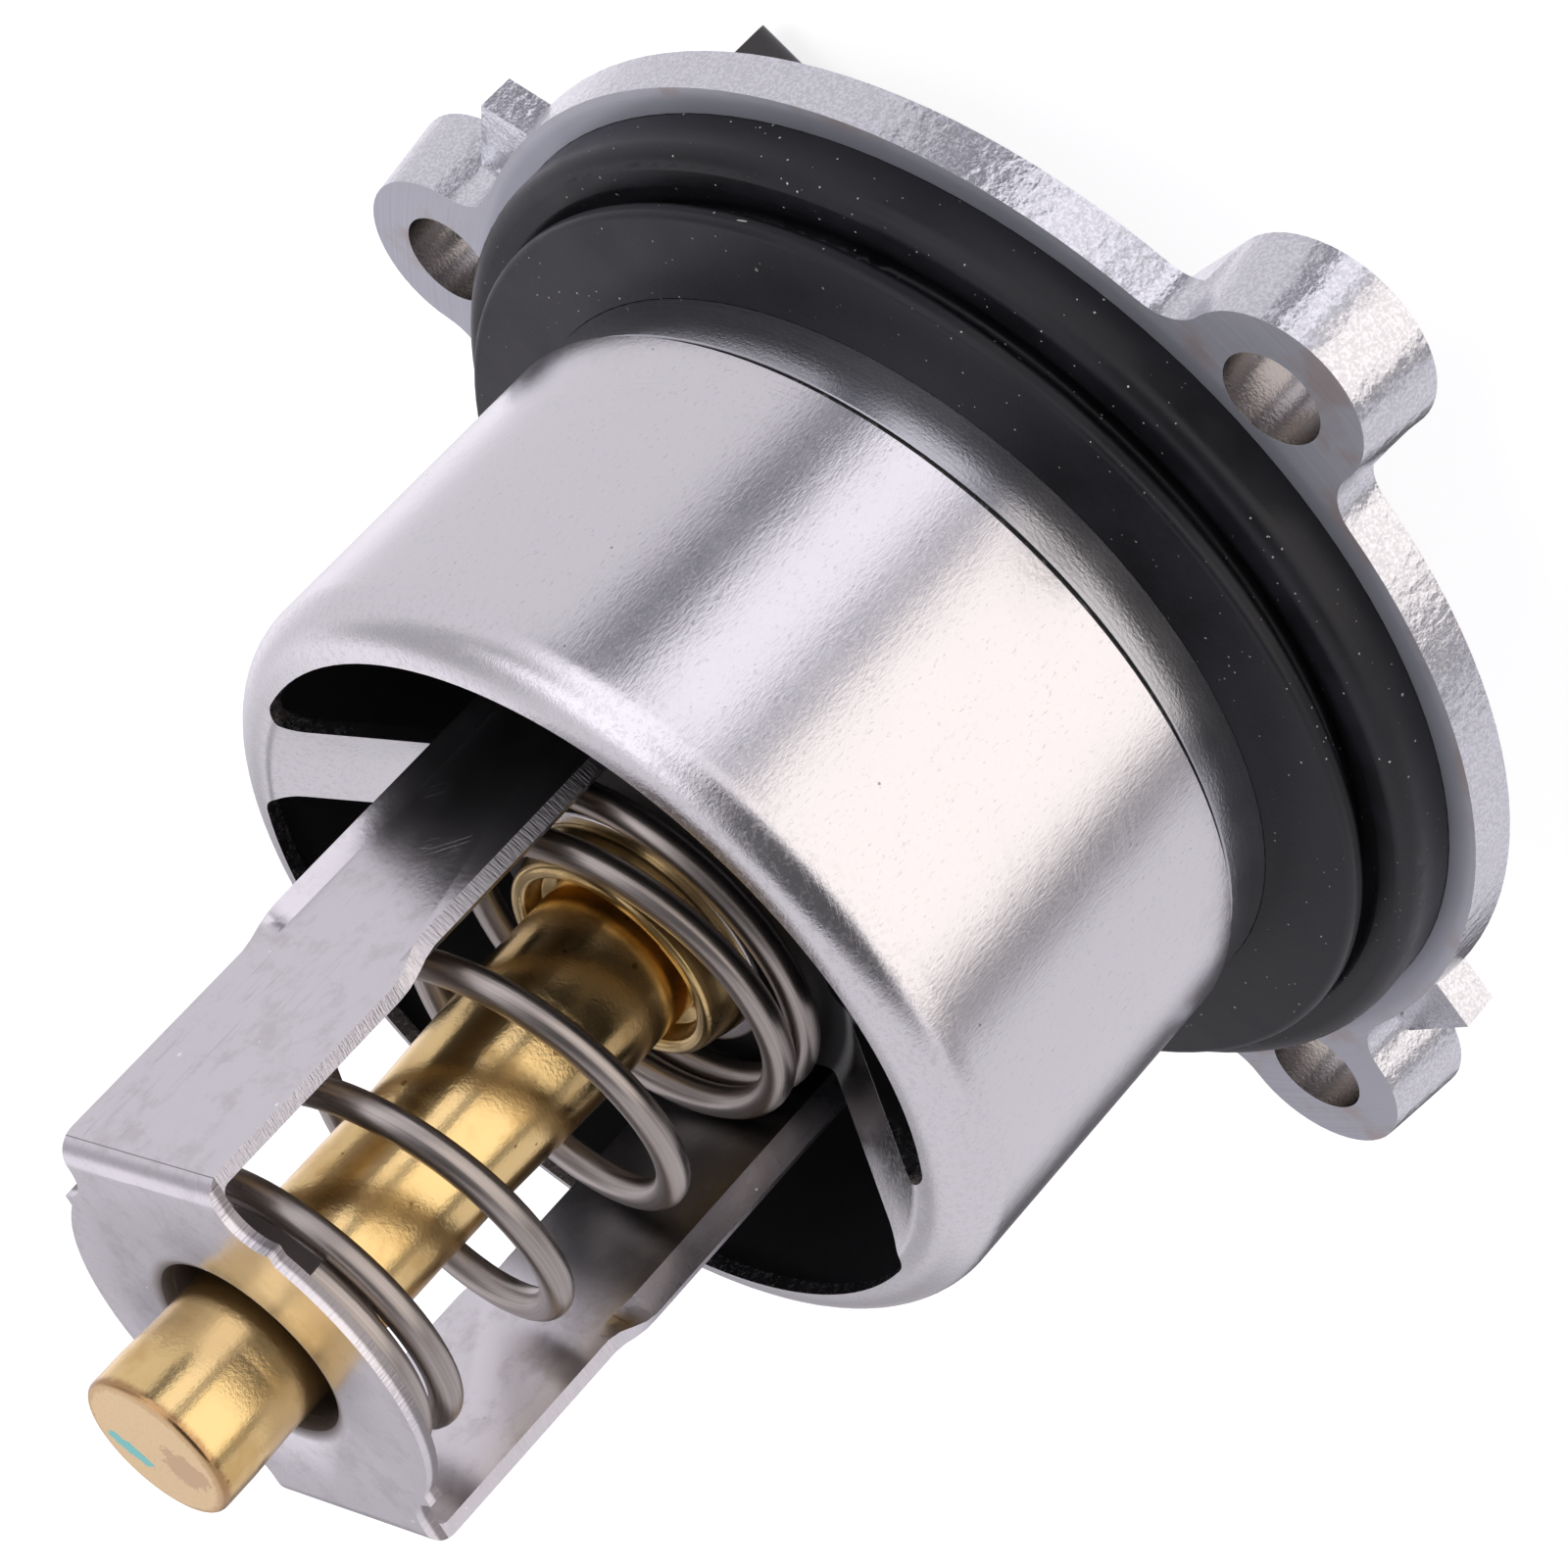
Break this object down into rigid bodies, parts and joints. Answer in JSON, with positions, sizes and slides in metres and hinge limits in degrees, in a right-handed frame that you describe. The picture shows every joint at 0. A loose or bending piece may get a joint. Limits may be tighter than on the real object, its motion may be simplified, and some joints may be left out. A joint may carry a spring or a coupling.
{
  "type": "engine thermostat",
  "caption": "Sleeve-valve coolant thermostat insert: ported aluminium sleeve on a wax element, conical spring, steel stirrup, cast flange with ears and ring seal, electric heater plug.",
  "frame": {"origin": "centre of the flange face that seats on the engine", "axes": "+Z along the valve axis, from the flange face to the closed end of the wax element; +X lies 7.1 degrees from the right-hand bolt ear"},
  "size_m": [0.0875, 0.0855, 0.0915],
  "materials": {
    "cast_cover": "die-cast, machined on the face and the spigot",
    "drawn_aluminium": "drawn sheet, satin",
    "seal_rubber": "moulded, satin black",
    "seat_rubber": "moulded, matt black",
    "pressed_steel": "pressed sheet, bright sheared edges",
    "spring_steel": "drawn wire with fine die lines",
    "brass_collar": "turned",
    "brass_body": "drawn, polished",
    "washer_plastic": "off-white",
    "boot_rubber": "matt black",
    "wax": "wax",
    "pin_steel": "ground",
    "resistor": "ceramic",
    "copper": "bare copper wire",
    "tinned_brass": "tinned",
    "black_plastic": "moulded, fine texture"
  },
  "bodies": {
    "housing": {"cover": "cast_cover", "flange_seal": "seal_rubber", "seat_seal": "seat_rubber", "stirrup": "pressed_steel", "return_spring": "spring_steel", "heater_pin": "pin_steel", "heating_resistor": "resistor", "lead_wire_left": "copper", "lead_wire_right": "copper", "terminal_left": "tinned_brass", "terminal_right": "tinned_brass", "connector_housing": "black_plastic", "plug_seal": "boot_rubber", "retaining_clip": "pressed_steel"},
    "valve": {"sleeve": "drawn_aluminium", "element_collar": "brass_collar", "element_body": "brass_body", "element_guide": "brass_body", "guide_washer": "washer_plastic", "squeeze_boot": "boot_rubber", "wax_charge": "wax"}
  },
  "joints": [
    {"name": "valve_lift", "type": "slide", "parent": "housing", "child": "valve", "axis": [0, 0, 1], "range_m": [0, 0.008], "stiffness_N_per_m": 4500, "deforming": ["return_spring"]}
  ]
}
